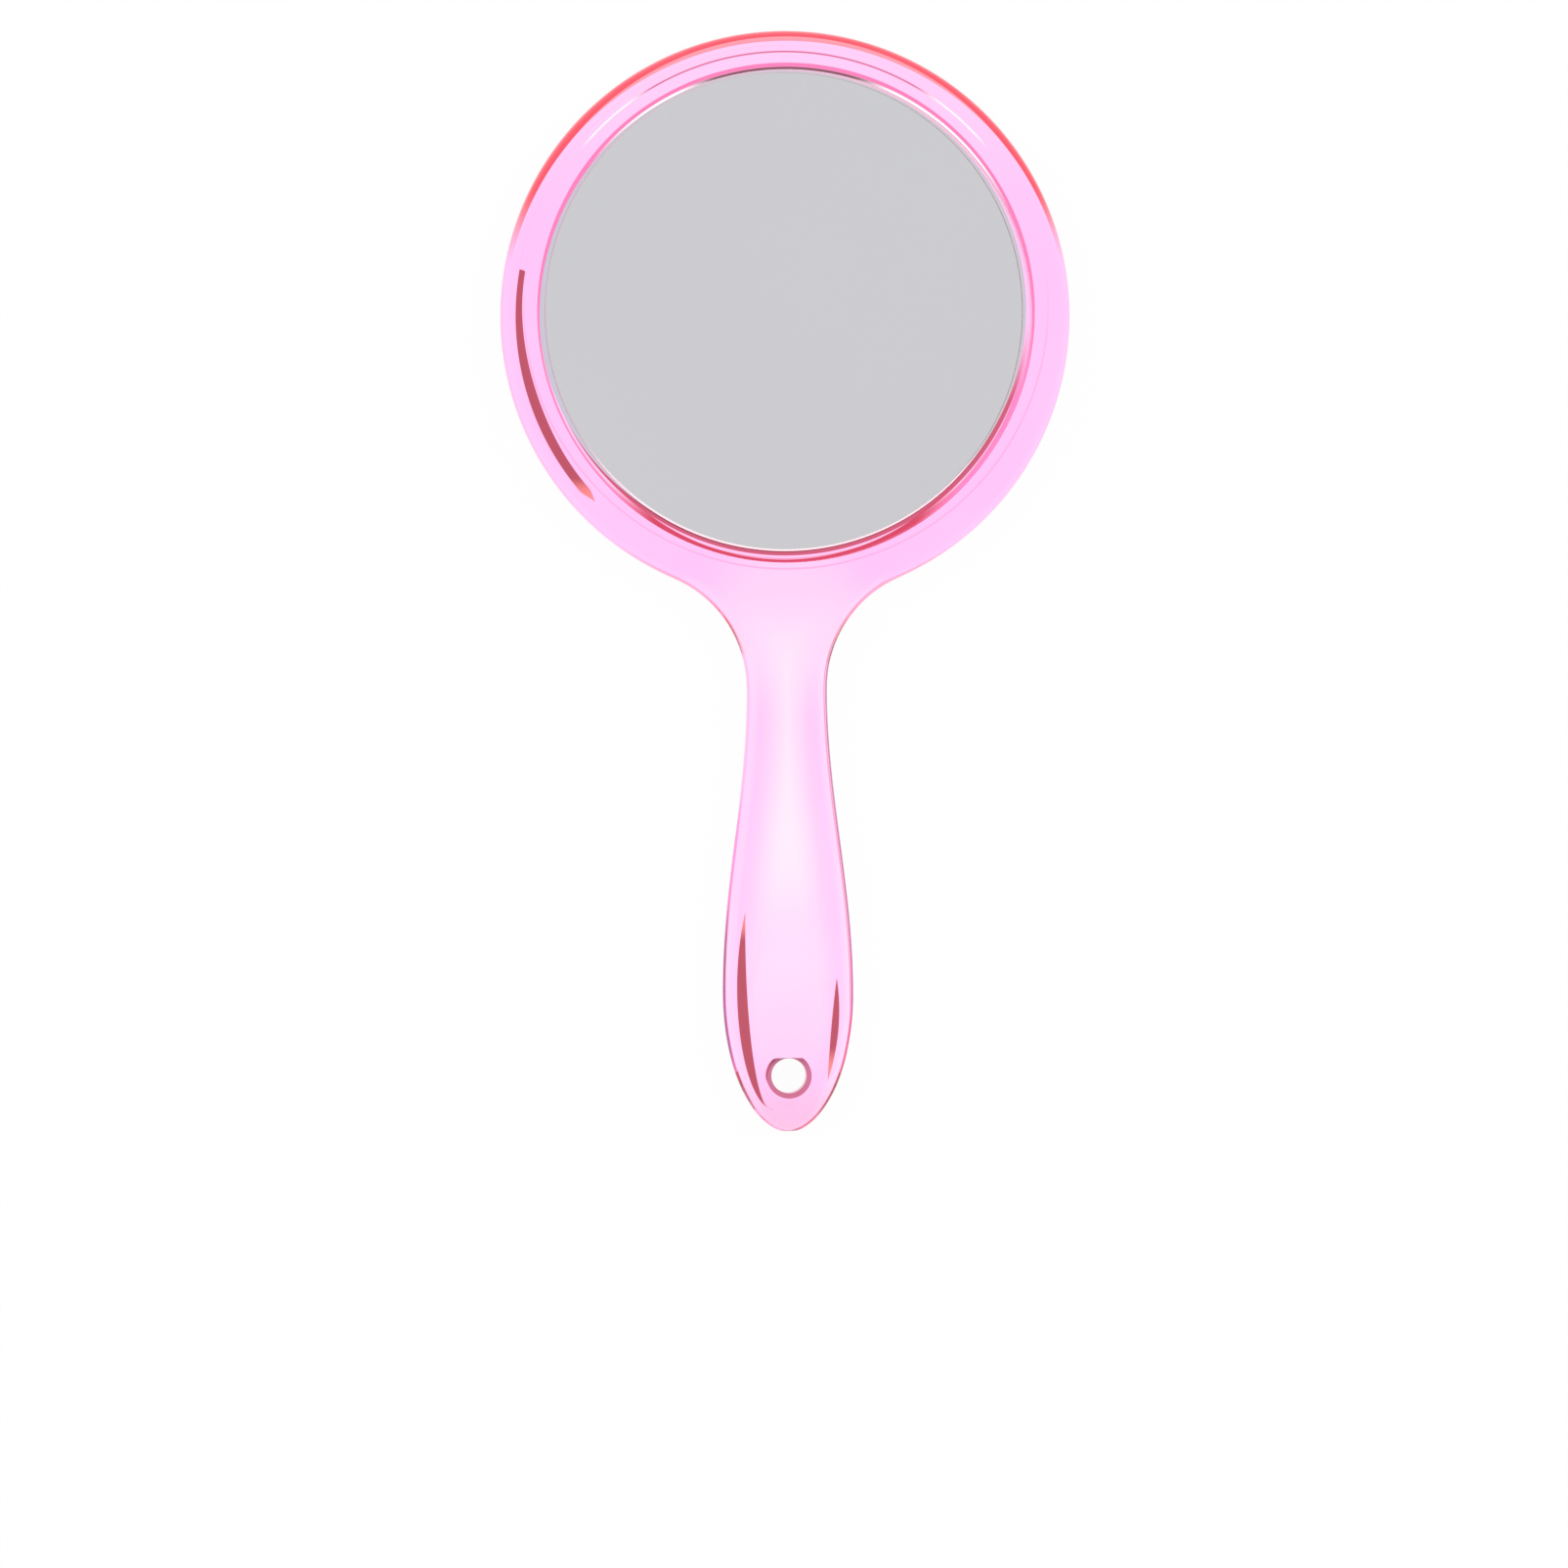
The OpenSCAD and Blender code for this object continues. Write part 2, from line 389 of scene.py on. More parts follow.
# %% Finish the frame piece
def finish_piece(name, mesh_data, node, levels=0):
    """Object from a bmesh that stands for a node, with its faces smooth."""
    mesh = bpy.data.meshes.new(name)
    mesh_data.to_mesh(mesh)
    mesh_data.free()
    mesh.shade_smooth()
    piece = bpy.data.objects.new(name, mesh)
    bpy.context.scene.collection.objects.link(piece)
    if levels:
        smooth = piece.modifiers.new("smooth", "SUBSURF")
        smooth.levels = levels
        smooth.render_levels = levels
    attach(piece, "root")
    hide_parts(node)
    return piece


frame_piece = finish_piece("pink_frame", body, "frame", levels=2)
print("frame cage of", len(frame_piece.data.polygons), "faces")

# %% [markdown]
# ## The glass
# A round of float glass with both edges ground off. It is turned like the head, and its underside dips
# a hair into the silver, so that no sliver of air lies between the two.

# %% Turn the glass
SEAM = 0.4 * MM
GLASS_LOW = coat_high.z - 0.02 * MM
glass_section = [(0, GLASS_LOW), (GLASS_R - SEAM, GLASS_LOW), (GLASS_R, glass_low.z + SEAM)]
glass_section += [(GLASS_R, glass_high.z - SEAM), (GLASS_R - SEAM, glass_high.z), (0, glass_high.z)]
disc = bmesh.new()
chain = [disc.verts.new((r, GLASS_Y, z)) for r, z in glass_section]
chain += [disc.edges.new(pair) for pair in zip(chain, chain[1:])]
bmesh.ops.spin(disc, geom=chain, cent=(0, GLASS_Y, 0), axis=(0, 0, 1), dvec=(0, 0, 0),
               angle=2 * math.pi, steps=192, use_merge=True)
bmesh.ops.remove_doubles(disc, verts=disc.verts, dist=0.001 * MM)
bmesh.ops.recalc_face_normals(disc, faces=disc.faces)
for face in disc.faces:
    face.material_index = 0 if abs(face.normal.z) > 0.9 else 1 if face.normal.z > 0.3 else 2
glass_piece = finish_piece("mirror_pane", disc, "mirror_glass")
glass_piece.data.set_sharp_from_angle(angle=math.radians(20))
print("glass of", len(glass_piece.data.polygons), "faces")

# %% [markdown]
# ## Finishes
# A small helper opens a material with its one Principled shader. Constants go straight onto that
# shader's sockets, and only what changes over the surface is linked. Every finish here is handled, wiped
# or rolled, so one node group makes the uneven gloss and each material sets its own scale and range.

# %% Open a material
def open_material(name, **sockets):
    """Material, its node tree and its Principled shader, with constants set on the sockets."""
    material = bpy.data.materials.new(name)
    material.use_nodes = True
    tree = material.node_tree
    shader = tree.nodes["Principled BSDF"]
    for socket, value in sockets.items():
        shader.inputs[socket.replace("_", " ")].default_value = value
    return material, tree, shader


def ramp(tree, source, stops, blend="LINEAR"):
    """Colour ramp over a value, with (position, colour) stops."""
    node = tree.nodes.new("ShaderNodeValToRGB")
    node.color_ramp.interpolation = blend
    while len(node.color_ramp.elements) < len(stops):
        node.color_ramp.elements.new(0.5)
    for element, (position, colour) in zip(node.color_ramp.elements, stops):
        element.position = position
        element.color = (*colour, 1)
    tree.links.new(source, node.inputs["Fac"])
    return node.outputs["Color"]


patch_group = bpy.data.node_groups.new("uneven_patches", "ShaderNodeTree")
for socket, value in (("Scale", 100.0), ("Detail", 3.0), ("Low", 0.0), ("High", 1.0)):
    added = patch_group.interface.new_socket(socket, in_out="INPUT", socket_type="NodeSocketFloat")
    added.default_value = value
patch_group.interface.new_socket("Value", in_out="OUTPUT", socket_type="NodeSocketFloat")
group_in = patch_group.nodes.new("NodeGroupInput")
group_out = patch_group.nodes.new("NodeGroupOutput")
coords = patch_group.nodes.new("ShaderNodeTexCoord")
noise = patch_group.nodes.new("ShaderNodeTexNoise")
spread = patch_group.nodes.new("ShaderNodeMapRange")
spread.inputs["From Min"].default_value = 0.3
spread.inputs["From Max"].default_value = 0.7
for source, target in ((coords.outputs["Object"], noise.inputs["Vector"]),
                       (group_in.outputs["Scale"], noise.inputs["Scale"]),
                       (group_in.outputs["Detail"], noise.inputs["Detail"]),
                       (noise.outputs["Fac"], spread.inputs["Value"]),
                       (group_in.outputs["Low"], spread.inputs["To Min"]),
                       (group_in.outputs["High"], spread.inputs["To Max"]),
                       (spread.outputs["Result"], group_out.inputs["Value"])):
    patch_group.links.new(source, target)


def patches(tree, scale, low, high, detail=3.0):
    """Uneven value over the surface, from the shared group."""
    node = tree.nodes.new("ShaderNodeGroup")
    node.node_tree = patch_group
    for socket, value in (("Scale", scale), ("Detail", detail), ("Low", low), ("High", high)):
        node.inputs[socket].default_value = value
    return node.outputs["Value"]


def mottle(tree, scale, first, second):
    """Colour that drifts unevenly between two."""
    return ramp(tree, patches(tree, scale, 0.0, 1.0), ((0, first), (1, second)))


def feed(tree, shader, **sources):
    """Links sources to the shader's sockets."""
    for socket, source in sources.items():
        tree.links.new(source, shader.inputs[socket.replace("_", " ")])


def bump(tree, shader, height, strength, distance):
    """Relief from a height, on the shader's normal."""
    node = tree.nodes.new("ShaderNodeBump")
    node.inputs["Strength"].default_value = strength
    node.inputs["Distance"].default_value = distance
    tree.links.new(height, node.inputs["Height"])
    tree.links.new(node.outputs["Normal"], shader.inputs["Normal"])


def math_node(tree, operation, first, second):
    """Math node over two sockets or numbers."""
    node = tree.nodes.new("ShaderNodeMath")
    node.operation = operation
    for socket, value in zip(node.inputs, (first, second)):
        if isinstance(value, (int, float)):
            socket.default_value = value
        else:
            tree.links.new(value, socket)
    return node.outputs["Value"]


COLOUR_A, COLOUR_B, COLOUR_OUT = 6, 7, 2


def mix_colour(tree, share, first, second):
    """Colour between two, of which the second is a plain colour."""
    node = tree.nodes.new("ShaderNodeMix")
    node.data_type = "RGBA"
    tree.links.new(share, node.inputs["Factor"])
    tree.links.new(first, node.inputs[COLOUR_A])
    node.inputs[COLOUR_B].default_value = second
    return node.outputs[COLOUR_OUT]


print("finish helpers ready")

# %% [markdown]
# The moulding is clear styrene with a glowing pink dye. Colour that comes from a dye belongs in the
# volume: thin places stay pale and long ways through the plastic turn deep pink. Such a dye also gathers
# light and lets it out at steep places, so the real one has red edges. Its dark red streaks, dark lines,
# pale patches and white glints are light that the clear plastic bends and reflects. The red edges and all
# of these are painted here as tints of the surface: painted shade, painted reflections and painted
# highlights. A faint pink glow over the whole plastic is painted light. Each tint is a soft mask over the
# distance from a centre or over the inset.

# %% Measure on the plastic's surface
pink, tree, shader = open_material("clear_pink_plastic", Transmission_Weight=1.0, IOR=1.49,
                                   Emission_Strength=0.5)
coords = tree.nodes.new("ShaderNodeTexCoord")
place = tree.nodes.new("ShaderNodeVectorMath")
place.operation = "SCALE"
place.inputs["Scale"].default_value = 1 / MM
tree.links.new(coords.outputs["Object"], place.inputs[0])
axes = tree.nodes.new("ShaderNodeSeparateXYZ")
tree.links.new(place.outputs["Vector"], axes.inputs["Vector"])


def attribute(tree, name):
    node = tree.nodes.new("ShaderNodeAttribute")
    node.attribute_name = name
    return node.outputs["Fac"]


def distance(tree, x, y, squeeze=1.0):
    """Millimetres from a point, seen from the front; a squeeze of the lengthwise part makes ovals."""
    flat = tree.nodes.new("ShaderNodeVectorMath")
    flat.operation = "MULTIPLY"
    flat.inputs[1].default_value = (1, squeeze, 0)
    tree.links.new(place.outputs["Vector"], flat.inputs[0])
    node = tree.nodes.new("ShaderNodeVectorMath")
    node.operation = "DISTANCE"
    tree.links.new(flat.outputs["Vector"], node.inputs[0])
    node.inputs[1].default_value = (x, squeeze * y, 0)
    return node.outputs["Value"]


def rise(tree, value, low, high):
    """Soft step from 0 at low to 1 at high, or down where low is the larger."""
    node = tree.nodes.new("ShaderNodeMapRange")
    node.interpolation_type = "SMOOTHSTEP"
    tree.links.new(value, node.inputs["Value"])
    node.inputs["From Min"].default_value = min(low, high)
    node.inputs["From Max"].default_value = max(low, high)
    node.inputs["To Min"].default_value = 0.0 if low < high else 1.0
    node.inputs["To Max"].default_value = 1.0 if low < high else 0.0
    return node.outputs["Result"]


def product(tree, *shares):
    """Product of masks."""
    total = shares[0]
    for share in shares[1:]:
        total = math_node(tree, "MULTIPLY", total, share)
    return total


def between(tree, value, start, full, fade, end):
    """Soft band that rises from start to full and falls from fade to end."""
    return product(tree, rise(tree, value, start, full), rise(tree, value, end, fade))


head_mm = HEAD_Y / MM
glass_mm = GLASS_Y / MM
hole_mm = HOLE_Y / MM
recess_mm = RECESS_R / MM
depth_in = attribute(tree, "inset")
handle_share = attribute(tree, "on_handle")
head_share = rise(tree, handle_share, 0.6, 0.1)
front = rise(tree, axes.outputs["Z"], 4.0, 4.6)
from_head = distance(tree, 0, head_mm)
from_glass = distance(tree, 0, glass_mm)
from_hole = distance(tree, 0, hole_mm)
print("plastic measured, glass centre at", round(glass_mm, 2), "mm")

# %% [markdown]
# The masks, from the widest to the finest. The head's far end has a red edge in two shades, like the skin
# of a peach, which is painted shade: each shade is what a shifted circle leaves uncovered. The handle is
# paler in its middle, which is a painted pool of light. The fine dark lines, pale lines and white glints on
# the rim and its edges are painted shade and painted highlights. Heights run up from the head's centre,
# and every number here is in millimetres.

# %% Tint the rim and the handle
along_x = axes.outputs["X"]
height = axes.outputs["Z"]
off_x = math_node(tree, "ABSOLUTE", along_x, 0)
up = math_node(tree, "SUBTRACT", axes.outputs["Y"], head_mm)
# painted light: the pale middle of the handle and the neck, where the rounded handle gathers light onto the
# table
light_pool = product(tree, handle_share, rise(tree, depth_in, 2.8, 11.0), between(tree, up, -58, -78, -112, -150))
pale_grip = product(tree, handle_share, rise(tree, depth_in, 3, 8), between(tree, up, -125, -145, -156, -170))
pale_neck = product(tree, front, rise(tree, distance(tree, 0, head_mm - 66), 24, 8))
# painted highlight: a pale band along the handle's rounded sides
pale_band = product(tree, handle_share, between(tree, depth_in, 0.5, 1.0, 2.0, 2.7))
pink_tip = product(tree, handle_share, rise(tree, up, -166, -176))
on_rim = product(tree, front, head_share)
# painted light: the far rim's front is painted paler
pale_top = product(tree, on_rim, rise(tree, up, 20, 50))
# painted shade: the far end's round side in two reds, salmon and, at the very edge, scarlet
salmon_shade = product(tree, on_rim, rise(tree, up, 10, 28),
                 rise(tree, distance(tree, 0, head_mm - 1.45), 61.52, 61.68))
scarlet_shade = product(tree, salmon_shade, rise(tree, distance(tree, 0, head_mm + 1.2), 59.8, 60.0))
# painted shade and highlights: a fine dark line round the far rim, broken by painted white glints, and a
# fainter painted line at the near end
from_line = distance(tree, -0.3, head_mm + 0.6)
line_ring = product(tree, on_rim, between(tree, from_line, 56.9, 57.1, 57.3, 57.5))
hair_line = product(tree, line_ring, rise(tree, up, 45.5, 50.5))
glint_dash = product(tree, line_ring, between(tree, up, 36, 40, 46.5, 50))
from_low_line = distance(tree, 0, head_mm + 2.1)
low_line = product(tree, on_rim, rise(tree, up, 20, -20),
                   between(tree, from_low_line, 57.1, 57.3, 57.5, 57.7))
# painted shade: the head's outer edge and the recess's inner edge are painted deeper pink
rim_edge = product(tree, on_rim, rise(tree, depth_in, 0.7, 0.2))
inner_edge = product(tree, on_rim, rise(tree, distance(tree, 0, head_mm + 0.9), 54.6, 54.4))
# painted highlight on the recess's top edge, and above it a painted shadow line
mouth_edge = product(tree, on_rim, rise(tree, along_x, -44, -30), rise(tree, up, 22, 36),
                     rise(tree, height, 8.4, 8.7), rise(tree, distance(tree, 0, head_mm + 0.5), 54.1, 53.95))
dark_edge = product(tree, mouth_edge, rise(tree, up, 48.5, 52))
print("rim and handle masked")

# %% [markdown]
# In the recess the floor beside the glass is painted grey on the far side, a painted reflection of the
# grey that the mirror shows, up to an oval that seems to be the mirror's edge. At the handle's end, where
# the glass stands off the wall, a dark ring of painted shadow lies round the glass, and the wall above it
# is painted red as a painted glow.

# %% Tint the recess
in_recess = product(tree, rise(tree, from_head, recess_mm + 0.1, recess_mm), rise(tree, height, 2.0, 1.5))
below_front = rise(tree, height, 8.6, 8.4)
low_end = rise(tree, up, 0, -20)
from_mirror = distance(tree, -0.4, head_mm + 1.6, 1.023)
# painted reflection: the gap's floor takes the grey that the mirror reflects
mirror_grey_gap = product(tree, in_recess, rise(tree, from_mirror, 53.66, 53.54))
pink_gap = product(tree, in_recess, rise(tree, from_mirror, 53.54, 53.66))
# painted shadow: a dark ring round the glass's near edge, a darker line against the glass and a fine line by
# the wall
shade = product(tree, pink_gap, low_end, rise(tree, distance(tree, 0.15, head_mm + 1.16), 53.73, 53.59))
low_black = product(tree, pink_gap, rise(tree, up, -20, -35), rise(tree, from_glass, 52.95, 52.8))
from_fine = distance(tree, 0, head_mm + 0.55)
fine_line = product(tree, in_recess, rise(tree, up, -20, -35),
                    between(tree, from_fine, 53.6, 53.68, 53.77, 53.85))
# painted glow: the recess's lower wall is painted red, with pink at its sides
on_wall = product(tree, below_front, low_end, rise(tree, from_head, recess_mm + 0.3, recess_mm + 0.2))
red_wall = product(tree, on_wall, rise(tree, off_x, 40, 28),
                   rise(tree, distance(tree, 0, head_mm - 4.1), 49.2, 49.35))
pink_wall = product(tree, on_wall, rise(tree, off_x, 26, 36),
                    rise(tree, from_head, recess_mm - 0.6, recess_mm - 0.4))
print("recess masked")

# %% [markdown]
# The dark streaks are painted reflections of dark surroundings, as long slivers. The rim's follows the
# inset, swells along its length and shrinks to a tip. The handle's are what two long ovals or two wide
# circles enclose between them. Their tips have a painted amber glow.

# %% Tint the streaks
STREAK_TOP = 10.5
STREAK_END = -42.5
STREAK_INSET = 3.15
STREAK_W = 2.25
STREAK_SOFT = 0.12
left_side = rise(tree, along_x, 0, -1)
right_side = rise(tree, along_x, 0, 1)


def grey_stops(*stops):
    """Grey stops of a colour ramp, from (position, value) pairs."""
    return [(at, (value, value, value)) for at, value in stops]


streak_run = tree.nodes.new("ShaderNodeMapRange")
tree.links.new(up, streak_run.inputs["Value"])
streak_run.inputs["From Min"].default_value = STREAK_TOP
streak_run.inputs["From Max"].default_value = STREAK_END
run = streak_run.outputs["Result"]
swell = ramp(tree, run, grey_stops((0, 0), (0.01, 0.55), (0.6, 1), (0.9, 0.9), (1, 0)), "EASE")
shrink = ramp(tree, run, grey_stops((0, 0), (0.92, 0), (1, 0.6)))
streak_inset = math_node(tree, "SUBTRACT", depth_in, STREAK_INSET)
streak_start = math_node(tree, "SUBTRACT", streak_inset, math_node(tree, "MULTIPLY", shrink, STREAK_W))
streak_spare = math_node(tree, "SUBTRACT", math_node(tree, "MULTIPLY", swell, STREAK_W), streak_inset)
# painted reflections: dark red slivers on the rim and the handle
rim_dark_reflection = product(tree, front, left_side, rise(tree, streak_start, -STREAK_SOFT, 0),
                     rise(tree, streak_spare, 0, STREAK_SOFT))
left_dark_reflection = product(tree, front, rise(tree, along_x, -3.4, -3.8),
                      rise(tree, distance(tree, -3.22, head_mm - 147.5, 0.307), 8.18, 8.06),
                      rise(tree, distance(tree, -3.96, head_mm - 134.65, 0.141), 5.46, 5.58))
right_dark_reflection = product(tree, front, rise(tree, along_x, 3, 4),
                       rise(tree, distance(tree, -35.39, head_mm - 152.1), 46.55, 46.43),
                       rise(tree, distance(tree, 257.07, head_mm - 178.78), 248.9, 248.78))
# painted amber glow at the streaks' tips
glowing_tips = [product(tree, streak, rise(tree, up, start, end)) for streak, start, end in
        ((rim_dark_reflection, -35, -39.5), (left_dark_reflection, -137, -131.5), (right_dark_reflection, -160, -166))]
print(len(glowing_tips), "streaks masked")

# %% [markdown]
# Last come the lines along the handle's edge, which are fainter on the left, and the lip of the hole, all
# painted shade of the clear edges.

# %% Tint the edges
hole_up = hole_mm - head_mm
on_front = product(tree, front, handle_share)
outline = product(tree, on_front, rise(tree, up, -66, -74), rise(tree, depth_in, 0.6, 0.45))
faint_top = product(tree, outline, left_side, rise(tree, up, -138, -120))
faint_low = product(tree, outline, left_side, rise(tree, up, -160, -168))
dark_line = product(tree, outline, left_side, between(tree, up, -128, -144, -158, -168))
second_line = product(tree, on_front, right_side, rise(tree, up, -155, -150),
                      between(tree, depth_in, 0.6, 0.7, 0.85, 0.95))
flare_edge = product(tree, front, rise(tree, depth_in, 0.75, 0.5), between(tree, up, -76, -66, -58, -48))
red_edge = product(tree, on_front, right_side, rise(tree, up, -150, -156), rise(tree, depth_in, 0.75, 0.6))
# painted shade in the hole's lip
lip = product(tree, rise(tree, from_hole, 5.0, 4.9), rise(tree, up, hole_up + 4.05, hole_up + 3.85))
lip_ends = product(tree, lip, rise(tree, up, hole_up + 1.5, hole_up + 3.8))
print("edges masked, hole", round(hole_up, 1), "mm from the head's centre")

# %% [markdown]
# Each tint is laid over the ones before it. A tint of the front face counts half, because light that comes
# from below passes one more face, so the colours written here are stronger than what they show. Two fine
# white lines on the far rim are painted glints, laid as a glow since no tint can lighten the plastic, and
# the whole plastic has a faint painted pink glow.

# %% Lay the tints and finish the plastic
DARK_REFLECTION_RED = (0.16, 0.01, 0.014)
MAGENTA = (0.73, 0.1, 0.28)
AMBER = (0.9, 0.16, 0.08)
CLEAR = (1, 1, 1)
# painted glow: pink over the whole plastic, white on the glints
PINK_GLOW = (0.2, 0.024, 0.036)
GLINT_GLOW = (0.25, 0.75, 0.25)
tints = [(pale_band, (1, 0.84, 1)), (pale_neck, CLEAR), (light_pool, CLEAR), (pale_grip, (1, 0.86, 1)),
         (pink_tip, (1, 0.66, 0.86)), (pale_top, (1, 0.9, 1)), (low_line, (0.87, 0.5, 0.72)),
         (rim_edge, (1, 0.5, 0.85)), (salmon_shade, (1, 0.25, 0.18)), (scarlet_shade, (0.65, 0.008, 0.012)),
         (hair_line, (0.36, 0.06, 0.13)), (inner_edge, MAGENTA), (mouth_edge, CLEAR),
         (dark_edge, (0.02, 0.008, 0.01)), (mirror_grey_gap, (0.44, 0.58, 0.66)), (pink_gap, (1, 0.6, 0.92)),
         (shade, (0.5, 0.09, 0.17)), (fine_line, (0.8, 0.25, 0.4)), (pink_wall, (1, 0.22, 0.55)),
         (red_wall, (0.55, 0.04, 0.1)), (low_black, (0.2, 0.04, 0.08)),
         (rim_dark_reflection, DARK_REFLECTION_RED), (left_dark_reflection, DARK_REFLECTION_RED), (right_dark_reflection, DARK_REFLECTION_RED)]
tints += [(tip, AMBER) for tip in glowing_tips]
tints += [(second_line, (0.5, 0.2, 0.3)), (flare_edge, (0.8, 0.22, 0.36)), (outline, (0.16, 0.12, 0.15)),
          (faint_top, (0.72, 0.6, 0.78)), (faint_low, (0.6, 0.4, 0.55)), (dark_line, (0.07, 0.05, 0.09)),
          (red_edge, (0.4, 0.05, 0.1)), (lip, (0.25, 0.05, 0.09)), (lip_ends, (0.1, 0.02, 0.04))]
colour = mottle(tree, 35.0, (1, 0.72, 0.99), (1, 0.76, 1))
for share, tint in tints:
    colour = mix_colour(tree, share, colour, (*tint, 1))
# painted highlights: the glints and the lit top edge of the recess glow white
glint_line = math_node(tree, "MAXIMUM", glint_dash, product(tree, mouth_edge, rise(tree, up, 53, 48)))
feed(tree, shader, Base_Color=colour, Roughness=patches(tree, 90.0, 0.0, 0.03),
     Emission_Color=ramp(tree, glint_line, ((0, PINK_GLOW), (1, GLINT_GLOW))))
bump(tree, shader, patches(tree, 55.0, 0.0, 1.0, 1.0), 0.02, 0.3 * MM)
absorb = tree.nodes.new("ShaderNodeVolumeAbsorption")
absorb.inputs["Color"].default_value = (1.0, 0.04, 0.82, 1)
absorb.inputs["Density"].default_value = 30
tree.links.new(absorb.outputs["Volume"], tree.nodes["Material Output"].inputs["Volume"])
frame_piece.data.materials.append(pink)
print("made", pink.name, "with", len(tints), "tints")

# %% [markdown]
# The glass itself is almost clear, and the silver behind it does the mirroring. Its front edge is ground
# to a chamfer with a painted highlight at the handle's end, where it catches the light, and painted grey
# on the far side, and the whole chamfer has a faint painted glow. The rough side below it is dark. Sprayed
# silver is never quite even, so its colour drifts a little.

# %% Glass, ground edge and silver
clear, tree, shader = open_material("clear_glass", Transmission_Weight=1.0, IOR=1.52)
feed(tree, shader, Base_Color=mottle(tree, 20.0, (0.98, 0.985, 0.98), (0.99, 0.99, 0.985)),
     Roughness=patches(tree, 60.0, 0.0, 0.008))
# painted light: the chamfer glows faintly, is painted white where it catches the light and grey on the far
# side
chamfer, tree, shader = open_material("chamfer_painted_light", Emission_Strength=0.5)
coords = tree.nodes.new("ShaderNodeTexCoord")
axes = tree.nodes.new("ShaderNodeSeparateXYZ")
tree.links.new(coords.outputs["Object"], axes.inputs["Vector"])
painted_grey_side = rise(tree, axes.outputs["Y"], HEAD_Y - 42 * MM, HEAD_Y - 24 * MM)
chamfer_highlight = mottle(tree, 900.0, (0.85, 0.86, 0.86), (0.95, 0.96, 0.96))
feed(tree, shader, Base_Color=mix_colour(tree, painted_grey_side, chamfer_highlight, (0.15, 0.15, 0.17, 1)),
     Roughness=patches(tree, 1500.0, 0.3, 0.6))
ground, tree, shader = open_material("ground_side")
feed(tree, shader, Base_Color=mottle(tree, 900.0, (0.02, 0.012, 0.016), (0.06, 0.03, 0.04)),
     Roughness=patches(tree, 1500.0, 0.4, 0.7))
bump(tree, shader, patches(tree, 2500.0, 0.0, 1.0), 0.3, 0.05 * MM)
for material in (clear, chamfer, ground):
    glass_piece.data.materials.append(material)
silver, tree, shader = open_material("silvering", Metallic=1.0)
feed(tree, shader, Base_Color=mottle(tree, 12.0, (0.925, 0.93, 0.945), (0.94, 0.945, 0.96)),
     Roughness=patches(tree, 40.0, 0.0, 0.012))
print("made", clear.name, chamfer.name, ground.name, silver.name)

# %% [markdown]
# Behind the silver lie its grey sealing paint, which is rolled on, and strips of white foam tape. They
# only show from behind, through the clear floor of the recess.

# %% Backing paint and foam tape
paint, tree, shader = open_material("backing_paint")
feed(tree, shader, Base_Color=mottle(tree, 160.0, (0.36, 0.37, 0.38), (0.45, 0.46, 0.47)),
     Roughness=patches(tree, 300.0, 0.55, 0.8))
bump(tree, shader, patches(tree, 700.0, 0.0, 1.0), 0.25, 0.05 * MM)
tape, tree, shader = open_material("foam_tape")
feed(tree, shader, Base_Color=mottle(tree, 1200.0, (0.8, 0.8, 0.77), (0.9, 0.9, 0.88)),
     Roughness=patches(tree, 800.0, 0.7, 0.9))
bump(tree, shader, patches(tree, 2200.0, 0.0, 1.0), 0.4, 0.1 * MM)


def dress_node(node, material):
    """Gives a CAD node's object a new material."""
    piece = frame["nodes"][node]
    piece.data.materials.clear()
    piece.data.materials.append(material)


for node, material in (("silver_coat", silver), ("backing_paint", paint), ("tape_left", tape),
                       ("tape_middle", tape), ("tape_right", tape)):
    dress_node(node, material)
print("dressed the layers behind the glass")

# %% [markdown]
# ## The studio
# The mirror lies on a white table. What the camera and the clear plastic see of the table is mostly its
# own even white, as on a lit table, and the rest is plain paint that keeps the shadow. From below the
# table is left out, so that the back can be looked at.

# %% White table
TABLE_Z = -0.3 * MM
CAMERA_GLOW = 0.97
MIRROR_GLOW = 0.75
table = bmesh.new()
bmesh.ops.create_grid(table, x_segments=1, y_segments=1, size=3)
bmesh.ops.translate(table, verts=table.verts, vec=(0, 0, TABLE_Z))
table_mesh = bpy.data.meshes.new("table")
table.to_mesh(table_mesh)
table.free()
table_piece = bpy.data.objects.new("table", table_mesh)
bpy.context.scene.collection.objects.link(table_piece)
white, tree, shader = open_material("table_white", Roughness=0.9, Specular_IOR_Level=0.0)
shader.inputs["Base Color"].default_value = (0.92, 0.92, 0.92, 1)
path = tree.nodes.new("ShaderNodeLightPath")
side_seen = tree.nodes.new("ShaderNodeNewGeometry")


def mix_shader(tree, share, first, second):
    node = tree.nodes.new("ShaderNodeMixShader")
    tree.links.new(share, node.inputs["Fac"])
    tree.links.new(first, node.inputs[1])
    tree.links.new(second, node.inputs[2])
    return node.outputs["Shader"]


glow = tree.nodes.new("ShaderNodeEmission")
gone = tree.nodes.new("ShaderNodeBsdfTransparent")
seen = math_node(tree, "MULTIPLY", path.outputs["Is Camera Ray"], CAMERA_GLOW)
seen = math_node(tree, "MAXIMUM", seen, path.outputs["Is Transmission Ray"])
mirrored = math_node(tree, "MULTIPLY", path.outputs["Is Glossy Ray"], MIRROR_GLOW)
seen = math_node(tree, "MAXIMUM", seen, mirrored)
top = mix_shader(tree, seen, shader.outputs["BSDF"], glow.outputs["Emission"])
both = mix_shader(tree, side_seen.outputs["Backfacing"], top, gone.outputs["BSDF"])
tree.links.new(both, tree.nodes["Material Output"].inputs["Surface"])
table_mesh.materials.append(white)
print("table at", TABLE_Z)

# %% [markdown]
# The sky is a light grey overhead, which is what the mirror shows, and the walls near the horizon are
# white. Wide lamps at the sides light the table and stay out of the mirror's view.

